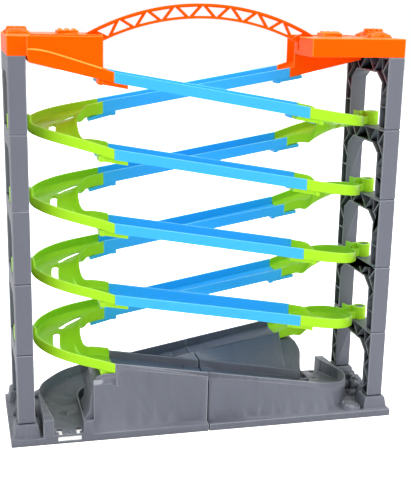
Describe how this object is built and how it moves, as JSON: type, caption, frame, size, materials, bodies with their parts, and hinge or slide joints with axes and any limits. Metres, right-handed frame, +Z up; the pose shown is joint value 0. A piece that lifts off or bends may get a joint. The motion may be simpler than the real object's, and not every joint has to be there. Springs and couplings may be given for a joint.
{
  "type": "toy race track",
  "caption": "Free-standing spiral race track for small toy cars: two portal towers carry a lane that winds down from top decks joined by an arch to exits in the base.",
  "frame": {"origin": "centre of the base's underside", "axes": "+X from the left tower to the right one, +Y to the back, +Z up"},
  "size_m": [0.4496, 0.1366, 0.4775],
  "materials": {
    "grey_plastic": "satin moulded, mid grey",
    "blue_plastic": "satin gloss moulded, bright blue",
    "green_plastic": "satin gloss moulded, lime green",
    "orange_plastic": "satin gloss moulded, bright orange"
  },
  "bodies": {
    "stand": {"back_straight_0": "blue_plastic", "back_straight_1": "blue_plastic", "back_straight_2": "blue_plastic", "back_straight_3": "blue_plastic", "base_left": "grey_plastic", "base_right": "grey_plastic", "front_straight_0": "blue_plastic", "front_straight_1": "blue_plastic", "front_straight_2": "blue_plastic", "front_straight_3": "blue_plastic", "left_curve_1": "green_plastic", "left_curve_2": "green_plastic", "left_curve_3": "green_plastic", "left_curve_4": "green_plastic", "left_platform": "orange_plastic", "left_tower_segment_1": "grey_plastic", "left_tower_segment_2": "grey_plastic", "left_tower_segment_3": "grey_plastic", "left_tower_segment_4": "grey_plastic", "left_tower_segment_5": "grey_plastic", "right_curve_1": "green_plastic", "right_curve_2": "green_plastic", "right_curve_3": "green_plastic", "right_curve_4": "green_plastic", "right_platform": "orange_plastic", "right_tower_segment_1": "grey_plastic", "right_tower_segment_2": "grey_plastic", "right_tower_segment_3": "grey_plastic", "right_tower_segment_4": "grey_plastic", "right_tower_segment_5": "grey_plastic"},
    "arch": {"arch": "orange_plastic"}
  },
  "joints": [
    {"name": "arch_lift", "type": "slide", "parent": "stand", "child": "arch", "axis": [0, 0, 1], "range_m": [0, 0.05]}
  ]
}
